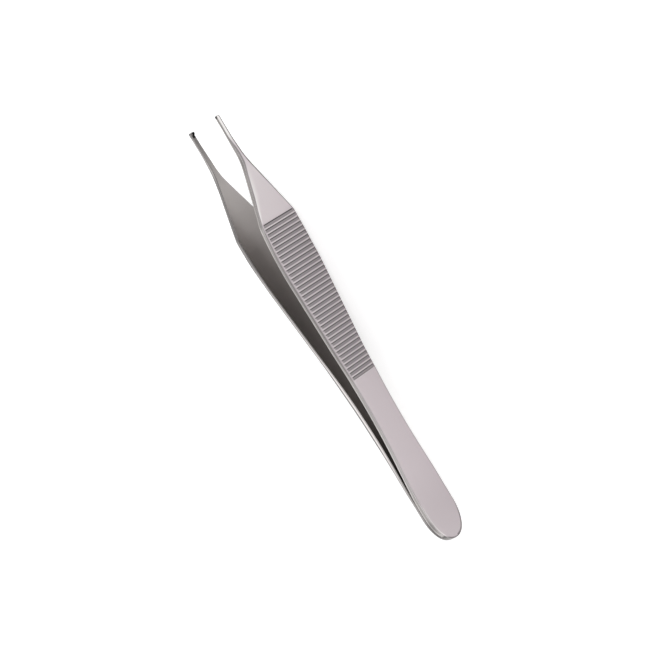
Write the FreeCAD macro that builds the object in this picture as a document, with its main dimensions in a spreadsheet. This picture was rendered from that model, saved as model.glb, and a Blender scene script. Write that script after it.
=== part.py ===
import FreeCAD, Part
import math
import os

import Sketcher

# Thumb forceps of the fine-tipped tissue pattern, in stainless steel, as they lie at rest.
# Two spring arms, each pressed from one strip, are welded face to face at the heel.
# The tips bite with one tooth on the front arm between two teeth on the rear arm.
#
# Frame: +X runs along the forceps towards the tips, Y is the direction in which the arms
# spread (front arm at -Y, rear arm at +Y) and Z is the width of the arms, upwards.
# The origin is the centre of the bounding box's underside. Both arms are modelled on the
# +Y side with their width centred on Z = 0, and each is then placed.

# Driving sizes in millimetres. A setback is measured along X from the tip end, a reach
# from the heel end, and a length from the corner before it. A width or a gap is the full
# size across the middle plane. At a rounded corner a width is the one before rounding, and
# a curve run is how far the rounding reaches from the corner.
SIZES = {
    # the pair
    "overall_length": 120.0,
    "tip_gap": 10.3,
    "weld_reach": 15.0,
    # side view of an arm
    "arm_thickness": 1.4,
    "weld_bend_radius": 80.0,
    "spring_bend_setback": 75.5,
    "spring_bend_gap": 2.84,
    "spring_bend_radius": 300.0,
    "shoulder_bend_lead": 2.8,
    "shoulder_bend_gap": 8.5,
    "shoulder_bend_radius": 70.0,
    "neck_setback": 13.5,
    "neck_thickness": 1.5,
    "neck_bend_radius": 25.0,
    "nose_setback": 6.5,
    "nose_thickness": 0.85,
    "nose_bend_radius": 25.0,
    "tip_thickness": 0.75,
    # outline of an arm, from the tip to the grip
    "tip_width": 1.0,
    "tip_corner_radius": 0.4,
    "flank_setback": 12.5,
    "flank_width": 1.4,
    "flank_curve_run": 2.5,
    "flank_length": 16.9,
    "shoulder_width": 13.0,
    "shoulder_radius": 8.0,
    "grip_rise_length": 7.0,
    "grip_width": 13.9,
    "crown_length": 6.4,
    "crown_curve_run": 2.6,
    # outline of an arm, from the heel to the grip
    "heel_end_width": 4.5,
    "heel_end_run": 1.8,
    "heel_turn_reach": 4.4,
    "heel_turn_run": 2.5,
    "heel_width": 11.2,
    "heel_side_length": 12.1,
    "heel_blend_run": 3.5,
    "waist_length": 20.1,
    "waist_width": 8.3,
    "waist_curve_run": 13.0,
    # rounding of the outer face's rim
    "edge_radius": 0.3,
    # flutes across the grip
    "flute_lead": 0.6,
    "flute_pitch": 1.24,
    "flute_width": 0.88,
    "flute_depth": 0.24,
    "flute_count": 36,
    "flute_rim": 0.6,
    # teeth of the bite
    "tooth_setback": 0.05,
    "tooth_length": 0.95,
    "tooth_height": 0.45,
    "tooth_width": 0.46,
    "tooth_crest_length": 0.3,
    "tooth_crest_width": 0.14,
    "tooth_root_depth": 0.15,
    "tooth_clearance": 0.05,
    # spare metal round the finished arm, cut away by the outline
    "stock_margin": 2.0,
}

# Places that follow from the sizes. An angle of the side view is measured from X.
PLACES = {
    "tip_x": "=sizes.overall_length / 2",
    "heel_x": "=-sizes.overall_length / 2",
    "stock_tip_x": "=tip_x + sizes.stock_margin",
    "stock_heel_x": "=heel_x - sizes.stock_margin",
    "stock_half": "=sizes.grip_width / 2 + sizes.stock_margin",
    "cut_tip_x": "=stock_tip_x + sizes.stock_margin",
    "cut_heel_x": "=stock_heel_x - sizes.stock_margin",
    "cut_half": "=stock_half + sizes.stock_margin",
    "middle": "0",
    # inner face in the side view
    "weld_x": "=heel_x + sizes.weld_reach",
    "spring_x": "=tip_x - sizes.spring_bend_setback",
    "spring_in": "=sizes.spring_bend_gap / 2",
    "shoulder_x": "=tip_x - sizes.flank_setback - sizes.flank_length",
    "bend_x": "=shoulder_x + sizes.shoulder_bend_lead",
    "bend_in": "=sizes.shoulder_bend_gap / 2",
    "tip_in": "=sizes.tip_gap / 2",
    "nose_slope": "=(tip_in - bend_in) / (tip_x - bend_x)",
    "stock_in": "=tip_in + sizes.stock_margin * nose_slope",
    # outer face in the side view
    "spring_out": "=spring_in + sizes.arm_thickness",
    "bend_out": "=bend_in + sizes.arm_thickness",
    "neck_x": "=tip_x - sizes.neck_setback",
    "neck_out": "=tip_in - sizes.neck_setback * nose_slope + sizes.neck_thickness",
    "nose_x": "=tip_x - sizes.nose_setback",
    "nose_out": "=tip_in - sizes.nose_setback * nose_slope + sizes.nose_thickness",
    "tip_out": "=tip_in + sizes.tip_thickness",
    "stock_out": "=tip_out + sizes.stock_margin * (tip_out - nose_out) / sizes.nose_setback",
    # half outline
    "tip_half": "=sizes.tip_width / 2",
    "flank_x": "=tip_x - sizes.flank_setback",
    "flank_half": "=sizes.flank_width / 2",
    "shoulder_half": "=sizes.shoulder_width / 2",
    "crown_front_x": "=shoulder_x - sizes.grip_rise_length",
    "crown_back_x": "=crown_front_x - sizes.crown_length",
    "grip_half": "=sizes.grip_width / 2",
    "heel_end_half": "=sizes.heel_end_width / 2",
    "heel_turn_x": "=heel_x + sizes.heel_turn_reach",
    "heel_half": "=sizes.heel_width / 2",
    "heel_blend_x": "=heel_turn_x + sizes.heel_side_length",
    "waist_x": "=heel_blend_x + sizes.waist_length",
    "waist_half": "=sizes.waist_width / 2",
    # field inside the rim, where the flutes are cut
    "flank_slope": "=(shoulder_half - flank_half) / sizes.flank_length",
    "field_shoulder_half": "=shoulder_half - sizes.flute_rim",
    "field_front_half": "=field_shoulder_half - sizes.shoulder_bend_lead * flank_slope",
    "field_grip_half": "=grip_half - sizes.flute_rim",
    "field_waist_half": "=waist_half - sizes.flute_rim",
    "field_heel_half": "=heel_half - sizes.flute_rim",
    "field_depth": "=2 * (neck_out + sizes.stock_margin)",
    # row of flutes along the flat of the grip
    "grip_angle": "=atan((bend_out - spring_out) / (bend_x - spring_x))",
    "flute_radius": "=(sizes.flute_width ^ 2 / 4 + sizes.flute_depth ^ 2) / (2 * sizes.flute_depth)",
    "flute_lift": "=flute_radius - sizes.flute_depth",
    "flute_line_x": "=shoulder_x + sizes.flute_lead",
    "flute_line_y": "=spring_out + (flute_line_x - spring_x) * tan(grip_angle)",
    "flute_x": "=flute_line_x - sizes.flute_width / 2 * cos(grip_angle) - flute_lift * sin(grip_angle)",
    "flute_y": "=flute_line_y - sizes.flute_width / 2 * sin(grip_angle) + flute_lift * cos(grip_angle)",
    "flute_step_x": "=sizes.flute_pitch * cos(grip_angle)",
    "flute_step_y": "=sizes.flute_pitch * sin(grip_angle)",
    # teeth
    "tooth_x": "=tip_x - sizes.tooth_setback",
    "tooth_back_x": "=tooth_x - sizes.tooth_length",
    "crest_back_x": "=tooth_x - sizes.tooth_crest_length",
    "tooth_root_y": "=tip_in + sizes.tooth_root_depth",
    "tooth_crest_y": "=tip_in - sizes.tooth_height",
    "tooth_stock_half": "=tip_half + sizes.stock_margin",
    "tooth_half": "=sizes.tooth_width / 2",
    "crest_half": "=sizes.tooth_crest_width / 2",
    "notch_floor_y": "=tip_in + sizes.tooth_clearance",
    "notch_floor_half": "=crest_half + sizes.tooth_clearance",
    "notch_mouth_half": "=tooth_half + sizes.tooth_clearance",
    "notch_length": "=sizes.stock_margin + sizes.tooth_setback + sizes.tooth_length",
}

# How close two points are that count as one, and how squarely an outer face looks outwards.
SAME_POINT = 1e-6
OUTWARD = 0.5

doc = FreeCAD.newDocument("thumb_forceps")


def add_sheet(name, cells):
    """A spreadsheet with one named cell in each row."""
    sheet = doc.addObject("Spreadsheet::Sheet", name)
    for row, (alias, content) in enumerate(cells.items(), start=1):
        sheet.set(f"A{row}", alias)
        sheet.set(f"B{row}", str(content))
        sheet.setAlias(f"B{row}", alias)
    doc.recompute()
    return sheet


sizes = add_sheet("sizes", SIZES)
places = add_sheet("places", PLACES)


def value(expression):
    """The number that a reference such as places.tip_x or -places.tip_half stands for."""
    sign = -1.0 if expression.startswith("-") else 1.0
    sheet_name, alias = expression.lstrip("-").split(".")
    sheet = doc.getObject(sheet_name)
    return sign * float(getattr(sheet, alias))


def bind(target, path, expression):
    """Tie a property or constraint to the sheets."""
    target.setExpression(path, expression)


def set_datum(sketch, kind, where, expression, name):
    """Add a named dimension whose value comes from the sheets."""
    index = sketch.addConstraint(Sketcher.Constraint(kind, *where, value(expression)))
    sketch.renameConstraint(index, name)
    bind(sketch, f"Constraints.{name}", expression)


class Corner:
    """A corner of an outline: where it is, and what rounds it, either a radius or a run."""

    def __init__(self, x, y, radius=None, run=None):
        self.x = x
        self.y = y
        self.radius = radius
        self.run = run
        self.point = FreeCAD.Vector(value(x), value(y), 0)

    def mirrored(self):
        """The same corner on the other side of the X axis."""
        return Corner(self.x, "-" + self.y, self.radius, self.run)


def corner_arc(before, corner, after):
    """The points where the rounding of a corner starts, has its middle and ends."""
    to_before = (before.point - corner.point).normalize()
    to_after = (after.point - corner.point).normalize()
    half_angle = to_before.getAngle(to_after) / 2
    run = value(corner.run) if corner.run else value(corner.radius) / math.tan(half_angle)
    radius = run * math.tan(half_angle)
    inward = (to_before + to_after).normalize()
    middle = corner.point + inward * (radius / math.sin(half_angle) - radius)
    return corner.point + to_before * run, middle, corner.point + to_after * run


def draw_outline(sketch, corners, prefix):
    """Draw a closed outline of lines through the corners, with tangent arcs at the rounded ones."""
    count = len(corners)
    arcs = {}
    for index, corner in enumerate(corners):
        if corner.radius or corner.run:
            arcs[index] = corner_arc(corners[index - 1], corner, corners[(index + 1) % count])
    lines = []
    for index, corner in enumerate(corners):
        following = (index + 1) % count
        start = arcs[index][2] if index in arcs else corner.point
        end = arcs[following][0] if following in arcs else corners[following].point
        lines.append(sketch.addGeometry(Part.LineSegment(start, end)))
    for index, corner in enumerate(corners):
        line_in = lines[index - 1]
        line_out = lines[index]
        name = f"{prefix}{index}"
        if index not in arcs:
            sketch.addConstraint(Sketcher.Constraint("Coincident", line_in, 2, line_out, 1))
            vertex = (line_out, 1)
        else:
            arc = sketch.addGeometry(Part.Arc(*arcs[index]))
            forward = sketch.getPoint(arc, 1).distanceToPoint(arcs[index][0]) < SAME_POINT
            arc_start = 1 if forward else 2
            sketch.addConstraint(Sketcher.Constraint("Tangent", line_in, 2, arc, arc_start))
            sketch.addConstraint(Sketcher.Constraint("Tangent", arc, 3 - arc_start, line_out, 1))
            mark = sketch.addGeometry(Part.Point(corner.point), True)
            sketch.addConstraint(Sketcher.Constraint("PointOnObject", mark, 1, line_in))
            sketch.addConstraint(Sketcher.Constraint("PointOnObject", mark, 1, line_out))
            vertex = (mark, 1)
            if corner.run:
                set_datum(sketch, "Distance", (mark, 1, arc, arc_start), corner.run, name + "_run")
            else:
                set_datum(sketch, "Radius", (arc,), corner.radius, name + "_radius")
        set_datum(sketch, "DistanceX", vertex, corner.x, name + "_x")
        set_datum(sketch, "DistanceY", vertex, corner.y, name + "_y")


def add_sketch(body, name, role, height=None):
    """A sketch on one of the body's origin planes, or at a height over it."""
    sketch = body.newObject("Sketcher::SketchObject", name)
    plane = next(item for item in body.Origin.OriginFeatures if item.Role == role)
    sketch.AttachmentSupport = [(plane, "")]
    sketch.MapMode = "FlatFace"
    if height:
        bind(sketch, "AttachmentOffset.Base.z", height)
    doc.recompute()
    return sketch


def rectangle(x_low, x_high, half):
    """The corners of a rectangle that is centred on the X axis."""
    near = [Corner(x_low, half), Corner(x_high, half)]
    return near + [corner.mirrored() for corner in reversed(near)]


def side_profile():
    """The bent strip seen from its edge: the inner face from the heel, then the outer face back."""
    return [
        Corner("places.stock_heel_x", "places.middle"),
        Corner("places.weld_x", "places.middle", "sizes.weld_bend_radius"),
        Corner("places.spring_x", "places.spring_in", "sizes.spring_bend_radius"),
        Corner("places.bend_x", "places.bend_in", "sizes.shoulder_bend_radius"),
        Corner("places.stock_tip_x", "places.stock_in"),
        Corner("places.stock_tip_x", "places.stock_out"),
        Corner("places.nose_x", "places.nose_out", "sizes.nose_bend_radius"),
        Corner("places.neck_x", "places.neck_out", "sizes.neck_bend_radius"),
        Corner("places.bend_x", "places.bend_out", "sizes.shoulder_bend_radius"),
        Corner("places.spring_x", "places.spring_out", "sizes.spring_bend_radius"),
        Corner("places.weld_x", "sizes.arm_thickness", "sizes.weld_bend_radius"),
        Corner("places.stock_heel_x", "sizes.arm_thickness"),
    ]


def arm_outline():
    """The arm seen from its outer face, round from the tip to the heel and back."""
    half = [
        Corner("places.tip_x", "places.tip_half", radius="sizes.tip_corner_radius"),
        Corner("places.flank_x", "places.flank_half", run="sizes.flank_curve_run"),
        Corner("places.shoulder_x", "places.shoulder_half", radius="sizes.shoulder_radius"),
        Corner("places.crown_front_x", "places.grip_half", run="sizes.crown_curve_run"),
        Corner("places.crown_back_x", "places.grip_half", run="sizes.crown_curve_run"),
        Corner("places.waist_x", "places.waist_half", run="sizes.waist_curve_run"),
        Corner("places.heel_blend_x", "places.heel_half", run="sizes.heel_blend_run"),
        Corner("places.heel_turn_x", "places.heel_half", run="sizes.heel_turn_run"),
        Corner("places.heel_x", "places.heel_end_half", run="sizes.heel_end_run"),
    ]
    return half + [corner.mirrored() for corner in reversed(half)]


def flute_field():
    """The outline of the grip, drawn in by the rim that stays at the flutes' ends."""
    half = [
        Corner("places.bend_x", "places.field_front_half"),
        Corner("places.shoulder_x", "places.field_shoulder_half", radius="sizes.shoulder_radius"),
        Corner("places.crown_front_x", "places.field_grip_half", run="sizes.crown_curve_run"),
        Corner("places.crown_back_x", "places.field_grip_half", run="sizes.crown_curve_run"),
        Corner("places.waist_x", "places.field_waist_half", run="sizes.waist_curve_run"),
        Corner("places.heel_blend_x", "places.field_heel_half"),
    ]
    return half + [corner.mirrored() for corner in reversed(half)]


def add_strip(body):
    """The strip that the arm is cut from, already bent."""
    sketch = add_sketch(body, body.Name + "_side_profile", "XY_Plane")
    draw_outline(sketch, side_profile(), "profile")
    pad = body.newObject("PartDesign::Pad", body.Name + "_strip")
    pad.Profile = sketch
    pad.SideType = "Symmetric"
    bind(pad, "Length", "2 * places.stock_half")


def add_tooth_block(body, root_half, crest_half):
    """A tooth that narrows from its root inside the arm to its crest, square at its front."""
    root = add_sketch(body, body.Name + "_tooth_root", "XZ_Plane", "-places.tooth_root_y")
    draw_outline(root, rectangle("places.tooth_back_x", "places.tooth_x", root_half), "root")
    crest = add_sketch(body, body.Name + "_tooth_crest", "XZ_Plane", "-places.tooth_crest_y")
    draw_outline(crest, rectangle("places.crest_back_x", "places.tooth_x", crest_half), "crest")
    loft = body.newObject("PartDesign::AdditiveLoft", body.Name + "_tooth")
    loft.Profile = root
    loft.Sections = [crest]
    loft.Ruled = True


def cut_notch(body):
    """The notch between two teeth, as wide as the tooth of the other arm and its clearance."""
    sketch = add_sketch(body, body.Name + "_notch_section", "YZ_Plane", "places.stock_tip_x")
    mouth = Corner("places.tooth_crest_y", "places.notch_mouth_half")
    floor = Corner("places.notch_floor_y", "places.notch_floor_half")
    draw_outline(sketch, [mouth, floor, floor.mirrored(), mouth.mirrored()], "notch")
    pocket = body.newObject("PartDesign::Pocket", body.Name + "_notch")
    pocket.Profile = sketch
    bind(pocket, "Length", "places.notch_length")


def trim_to_outline(body):
    """Cut away the strip outside the arm's outline."""
    sketch = add_sketch(body, body.Name + "_outline", "XZ_Plane")
    draw_outline(sketch, arm_outline(), "outline")
    far_heel = Corner("places.cut_heel_x", "places.cut_half")
    far_tip = Corner("places.cut_tip_x", "places.cut_half")
    draw_outline(sketch, [far_heel, far_tip, far_tip.mirrored(), far_heel.mirrored()], "frame")
    pocket = body.newObject("PartDesign::Pocket", body.Name + "_trim")
    pocket.Profile = sketch
    pocket.SideType = "Symmetric"
    pocket.Type = "ThroughAll"


def is_broad_outer(face):
    """True for the faces that look away from the other arm."""
    u_low, u_high, v_low, v_high = face.ParameterRange
    return face.normalAt((u_low + u_high) / 2, (v_low + v_high) / 2).y > OUTWARD


def round_outer_edges(body):
    """Round the whole rim of the outer face, as polishing leaves it."""
    trimmed = body.Tip
    shape = trimmed.Shape
    outer_edges = [edge.hashCode() for face in shape.Faces if is_broad_outer(face) for edge in face.Edges]
    rim = [
        f"Edge{number}"
        for number, edge in enumerate(shape.Edges, start=1)
        if outer_edges.count(edge.hashCode()) == 1
    ]
    fillet = body.newObject("PartDesign::Fillet", body.Name + "_rounding")
    fillet.Base = (trimmed, rim)
    bind(fillet, "Radius", "sizes.edge_radius")


def add_flutes():
    """The row of round-bottomed troughs, each ending at the rim that follows the outline."""
    field_body = doc.addObject("PartDesign::Body", "flute_field")
    sketch = add_sketch(field_body, "flute_field_outline", "XZ_Plane")
    draw_outline(sketch, flute_field(), "field")
    pad = field_body.newObject("PartDesign::Pad", "flute_field_block")
    pad.Profile = sketch
    pad.SideType = "Symmetric"
    bind(pad, "Length", "places.field_depth")
    cutters = []
    for number in range(int(sizes.flute_count)):
        cutter = doc.addObject("Part::Cylinder", f"flute_cutter_{number + 1}")
        bind(cutter, "Radius", "places.flute_radius")
        bind(cutter, "Height", "2 * places.stock_half")
        bind(cutter, "Placement.Base.x", f"places.flute_x - {number} * places.flute_step_x")
        bind(cutter, "Placement.Base.y", f"places.flute_y - {number} * places.flute_step_y")
        bind(cutter, "Placement.Base.z", "-places.stock_half")
        cutters.append(cutter)
    row = doc.addObject("Part::MultiFuse", "flute_row")
    row.Shapes = cutters
    flutes = doc.addObject("Part::Common", "flutes")
    flutes.Base = field_body
    flutes.Tool = row
    doc.recompute()
    return flutes


def make_arm(name, two_teeth, flutes, half_turns):
    """One arm, with its teeth and flutes, turned about X to its side of the middle plane."""
    body = doc.addObject("PartDesign::Body", name + "_blank")
    add_strip(body)
    if two_teeth:
        add_tooth_block(body, "places.tooth_stock_half", "places.tooth_stock_half")
        doc.recompute()
        cut_notch(body)
    else:
        add_tooth_block(body, "places.tooth_half", "places.crest_half")
    trim_to_outline(body)
    doc.recompute()
    round_outer_edges(body)
    doc.recompute()
    arm = doc.addObject("Part::Cut", name)
    arm.Base = body
    arm.Tool = flutes
    arm.Label = name
    turn = FreeCAD.Rotation(FreeCAD.Vector(1, 0, 0), 180 * half_turns)
    arm.Placement = FreeCAD.Placement(FreeCAD.Vector(), turn)
    bind(arm, "Placement.Base.z", "places.grip_half")
    return arm


flutes = add_flutes()
arms = [
    make_arm("front_arm", False, flutes, 1),
    make_arm("rear_arm", True, flutes, 0),
]
doc.recompute()

# Nothing is written unless the whole document is sound.
for item in doc.Objects:
    if "Invalid" in item.State or "Error" in item.State:
        raise RuntimeError(f"{item.Label} failed: {item.State}")
    if item.TypeId == "Sketcher::SketchObject" and not item.FullyConstrained:
        raise RuntimeError(f"{item.Label} isn't fully constrained")
for arm in arms:
    if arm.Shape.isNull() or not arm.Shape.isValid() or len(arm.Shape.Solids) != 1:
        raise RuntimeError(f"{arm.Label} isn't one sound solid")

os.makedirs("parts", exist_ok=True)
for arm in arms:
    arm.Shape.exportStep(f"parts/{arm.Label}.step")
    print(arm.Label, round(arm.Shape.Volume, 3), arm.Shape.BoundBox)
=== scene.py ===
import math
from collections import namedtuple
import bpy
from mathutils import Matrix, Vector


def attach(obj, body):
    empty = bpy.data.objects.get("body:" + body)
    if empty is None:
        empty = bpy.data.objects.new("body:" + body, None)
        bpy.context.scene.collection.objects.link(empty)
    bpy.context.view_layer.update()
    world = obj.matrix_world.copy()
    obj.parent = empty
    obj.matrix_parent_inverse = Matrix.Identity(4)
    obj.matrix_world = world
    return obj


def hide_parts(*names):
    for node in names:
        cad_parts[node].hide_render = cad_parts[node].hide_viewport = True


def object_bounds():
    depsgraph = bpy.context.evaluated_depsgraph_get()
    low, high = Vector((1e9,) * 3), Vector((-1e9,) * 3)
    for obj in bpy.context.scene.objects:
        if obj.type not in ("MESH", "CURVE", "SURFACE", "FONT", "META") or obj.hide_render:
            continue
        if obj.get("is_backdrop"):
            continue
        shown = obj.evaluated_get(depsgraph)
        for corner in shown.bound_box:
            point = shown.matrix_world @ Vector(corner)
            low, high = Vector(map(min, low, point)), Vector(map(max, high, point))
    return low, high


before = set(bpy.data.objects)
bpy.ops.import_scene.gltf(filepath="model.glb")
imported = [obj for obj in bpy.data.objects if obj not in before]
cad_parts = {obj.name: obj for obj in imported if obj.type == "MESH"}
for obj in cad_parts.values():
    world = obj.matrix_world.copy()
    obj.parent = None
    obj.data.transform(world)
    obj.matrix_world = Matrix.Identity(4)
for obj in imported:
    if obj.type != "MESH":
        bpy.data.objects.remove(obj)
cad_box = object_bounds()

from types import SimpleNamespace

import bmesh
import bpy
import numpy as np
from bpy.props import (
    FloatProperty,
    FloatVectorProperty,
    IntProperty,
    PointerProperty,
    StringProperty,
)
from mathutils import Quaternion, Vector
from mathutils.kdtree import KDTree

bl_info = {
    "name": "Thumb Forceps",
    "version": (1, 0, 0),
    "blender": (4, 5, 0),
    "location": "View3D > Sidebar > Forceps",
    "description": "Spring arms with fluted grips and toothed tips, in satin stainless steel",
    "category": "Object",
}

MM = 0.001
LOW, HIGH = cad_box
TIP_X = HIGH.x / MM
HEEL_X = LOW.x / MM
MIDDLE_Z = (LOW.z + HIGH.z) / 2 / MM


def length(name, description, millimetres):
    """A length that a user can change, given in millimetres and kept in metres."""
    return FloatProperty(
        name=name, description=description, default=millimetres * MM, unit="LENGTH", precision=5
    )


def angle(name, description, degrees):
    """An angle that a user can change, given in degrees."""
    return FloatProperty(
        name=name, description=description, default=math.radians(degrees), subtype="ANGLE"
    )


def hex_colour(name, description, code):
    """A colour that a user can change, kept as an sRGB hex code."""
    return StringProperty(name=name, description=description, default=code)


class ForcepsArm(bpy.types.PropertyGroup):
    """The bent strip that each arm is made from. A setback is measured from the tip end."""

    thickness: length("Strip thickness", "Thickness of the strip from the heel to the grip", 1.4)
    weld_setback: length("Weld end", "Where the arms part from each other", 107.0)
    spring_setback: length("Spring bend", "Where the spring part meets the grip", 75.5)
    spring_gap: length("Spring gap", "Gap between the arms at the spring bend", 2.84)
    bend_setback: length("Shoulder bend", "Where the grip meets the flank", 26.6)
    bend_gap: length("Shoulder gap", "Gap between the arms at the shoulder bend", 8.5)
    tip_gap: length("Tip gap", "Gap between the tips at rest", 10.3)
    neck_setback: length("Neck", "Where the strip starts to thin", 13.5)
    neck_thickness: length("Neck thickness", "Thickness at the neck", 1.49)
    nose_setback: length("Nose", "Where the thin nose starts", 6.5)
    nose_thickness: length("Nose thickness", "Thickness where the nose starts", 0.85)
    tip_thickness: length("Tip thickness", "Thickness at the tip end", 0.75)
    nose_relief: length("Nose relief", "How much the nose is ground on its inner face", 0.1)
    neck_relief: length("Neck relief", "How much the neck is ground on its inner face", 0.21)
    flank_relief: length("Flank relief", "How much the flank is ground on its inner face", 0.16)
    spring_relief: length("Spring relief", "How much the front arm's spring part is ground", 0.12)
    inner_break: length("Inner edge break", "Rounding of the inner edges", 0.12)
    weld_break: length("Seam break", "Rounding of the inner edges along the weld", 0.05)
    crown: angle("Crown", "Tilt of the edges towards the outer face", 8)


class ForcepsOutline(bpy.types.PropertyGroup):
    """An arm's outline on its outer face. A setback is measured from the tip end."""

    tip_width: length("Tip width", "Width of the tip end", 1.16)
    tip_radius: length("Tip corner", "Radius of the tip's corners", 0.4)
    taper_setback: length("Taper", "Where the slender nose starts to widen", 12.5)
    taper_width: length("Taper width", "Width where the nose starts to widen", 1.5)
    shoulder_setback: length("Shoulder", "Where the flank runs into the grip", 29.4)
    shoulder_width: length("Shoulder width", "Width at the shoulder", 13.0)
    shoulder_radius: length("Shoulder radius", "Radius of the shoulder", 8.0)
    grip_setback: length("Grip", "Where the widest part of the grip starts", 36.4)
    grip_end: length("Grip end", "Where the widest part of the grip ends", 42.8)
    grip_width: length("Grip width", "Width of the widest part of the grip", 13.9)
    waist_setback: length("Waist", "Where the spring part is narrowest", 83.4)
    waist_width: length("Waist width", "Width of the narrowest part", 8.1)
    heel_setback: length("Heel", "Where the heel's straight edges start", 104.5)
    heel_end: length("Heel end", "Where the heel's rounded end starts", 111.6)
    heel_width: length("Heel width", "Width of the heel", 11.2)


class ForcepsFlutes(bpy.types.PropertyGroup):
    """The flutes across the grip."""

    count: IntProperty(name="Flutes", description="Number of flutes on each arm", default=36)
    setback: length("First flute", "Front edge of the first flute", 28.94)
    pitch: length("Pitch", "From one flute to the next", 1.24)
    width: length("Width", "Width of a flute at the face", 0.9)
    floor: length("Floor width", "Width of a flute's floor", 0.56)
    depth: length("Depth", "Depth of a flute", 0.24)
    rim: length("Rim", "Plain rim beside the flutes' ends", 0.3)
    run_out: length("Run-out", "How far a flute's end slopes", 0.3)


class ForcepsTeeth(bpy.types.PropertyGroup):
    """The bite: one tooth on the front arm, between two on the rear arm."""

    setback: length("Setback", "From the tip end to the front of the teeth", 0.05)
    front: length("Front slope", "How far the front of a tooth slopes", 0.05)
    root: length("Root length", "Length of a tooth at its root", 0.95)
    crest: length("Crest length", "Length of a tooth at its crest", 0.5)
    height: length("Height", "Height of a tooth over the inner face", 0.45)
    width: length("Width", "Width of the single tooth at its root", 0.4)
    crest_width: length("Crest width", "Width of the single tooth at its crest", 0.14)
    clearance: length("Clearance", "Room between the single tooth and the notch", 0.05)


class ForcepsFinish(bpy.types.PropertyGroup):
    """Colours and grain of the steel."""

    face: hex_colour("Satin face", "Glass-bead blasted steel of the outer faces", "#C5BCBF")
    # Also the colour of the painted highlights, and of the nose's sheen: partly polished steel,
    # partly painted highlight.
    nose: hex_colour("Polished nose", "Brighter steel of the nose", "#E6E3E1")
    # Darker grey: partly the steel's own, partly painted shade for the gap between the arms.
    inner: hex_colour("Inner face", "Duller steel of the inner faces", "#A8A3A1")
    edge: hex_colour("Ground edge", "Steel of the ground edges", "#DCD7D5")
    # Painted shade: the flute floors are drawn darker than the face.
    trough: hex_colour("Flute floor", "Dull steel in the flutes", "#969192")
    # Near-black colour of the painted shade and shadow on rims, sides, flute walls, the bite and
    # inner faces.
    dull: hex_colour("Dull edge", "Unpolished steel of the rims and in the bite", "#1C1B1A")
    face_roughness: FloatProperty(
        name="Face roughness", description="Roughness of the blasted faces", default=0.36
    )
    edge_roughness: FloatProperty(
        name="Edge roughness", description="Roughness of the ground edges", default=0.22
    )
    bead: length("Bead mark", "Size of a mark that a glass bead leaves", 0.12)
    grinding: length("Grinding line", "Distance between the lines on a ground edge", 0.08)
    grain_depth: length("Grain depth", "Depth of the bead marks and grinding lines", 0.01)


class ForcepsStage(bpy.types.PropertyGroup):
    """Camera, floor and room light."""

    azimuth: angle("Azimuth", "Direction of view round the object", 3.51)
    elevation: angle("Elevation", "Height of the view", 44.95)
    roll: angle("Roll", "Turn of the frame about the line of sight", -123.77)
    distance: length("Distance", "From the camera to the point that it looks at", 657.7)
    lens: FloatProperty(
        name="Lens", description="Focal length on a 36 mm sensor, in millimetres", default=147.9
    )
    target: FloatVectorProperty(
        name="Target",
        description="The point that the camera looks at",
        default=(2.71 * MM, 0.2 * MM, 7.09 * MM),
        subtype="TRANSLATION",
    )
    floor: hex_colour("Floor", "Matt white paper", "#FAFAFA")
    room: FloatProperty(
        name="Room light", description="Brightness of the panels round the object", default=0.94
    )
    lift: FloatProperty(
        name="Floor lift", description="Extra white of the floor for the camera", default=0.35
    )
    glow: FloatProperty(
        name="Floor glow", description="Extra white of the floor in the steel", default=0.26
    )


def in_millimetres(group):
    """The lengths of a group of settings, in millimetres."""
    lengths = [item.identifier for item in group.bl_rna.properties if item.unit == "LENGTH"]
    return SimpleNamespace(**{name: getattr(group, name) / MM for name in lengths})


def linear(code):
    """An sRGB hex code as a linear colour with alpha."""
    channels = [int(code[start : start + 2], 16) / 255 for start in (1, 3, 5)]
    return [c / 12.92 if c <= 0.04045 else ((c + 0.055) / 1.055) ** 2.4 for c in channels] + [1.0]


def add_node(tree, kind, inputs=None, **settings):
    """Add a shader node with its settings, and give its inputs a value or a link each."""
    node = tree.nodes.new(kind)
    for name, setting in settings.items():
        setattr(node, name, setting)
    for socket, source in (inputs or {}).items():
        if isinstance(source, bpy.types.NodeSocket):
            tree.links.new(source, node.inputs[socket])
        else:
            node.inputs[socket].default_value = source
    return node


def set_levels(ramp, levels, span):
    """Give a colour ramp a level of grey at each place along a span."""
    stops = ramp.elements
    stops[1].position = levels[-1][0] / span
    stops[0].position = levels[0][0] / span
    for place, _ in levels[1:-1]:
        stops.new(place / span)
    for stop, (_, level) in zip(stops, levels):
        stop.color = (level, level, level, 1)


def new_material(name):
    """An empty node material and its tree."""
    material = bpy.data.materials.new(name)
    material.use_nodes = True
    material.node_tree.nodes.clear()
    return material, material.node_tree


def steel_surface(tree, finish, colour, roughness, grain, strength):
    """Bare steel with a grain, darkened where the mesh carries painted shade and shadow."""
    # The shade attribute is painted light: over 0 it darkens the steel as painted shade and shadow.
    shade = add_node(tree, "ShaderNodeAttribute", attribute_name="shade").outputs["Fac"]
    base = add_node(
        tree,
        "ShaderNodeMix",
        {"Factor": shade, "A": colour, "B": linear(finish.dull)},
        data_type="RGBA",
    )
    bump = add_node(
        tree,
        "ShaderNodeBump",
        {"Height": grain, "Strength": strength, "Distance": finish.grain_depth},
    )
    shader = add_node(
        tree,
        "ShaderNodeBsdfPrincipled",
        {
            "Base Color": base.outputs["Result"],
            "Metallic": 1.0,
            "Roughness": roughness,
            "Normal": bump.outputs["Normal"],
        },
    )
    add_node(tree, "ShaderNodeOutputMaterial", {"Surface": shader.outputs["BSDF"]})


BEAD_DETAIL = 3.0
BEAD_STRENGTH = 0.25
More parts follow.
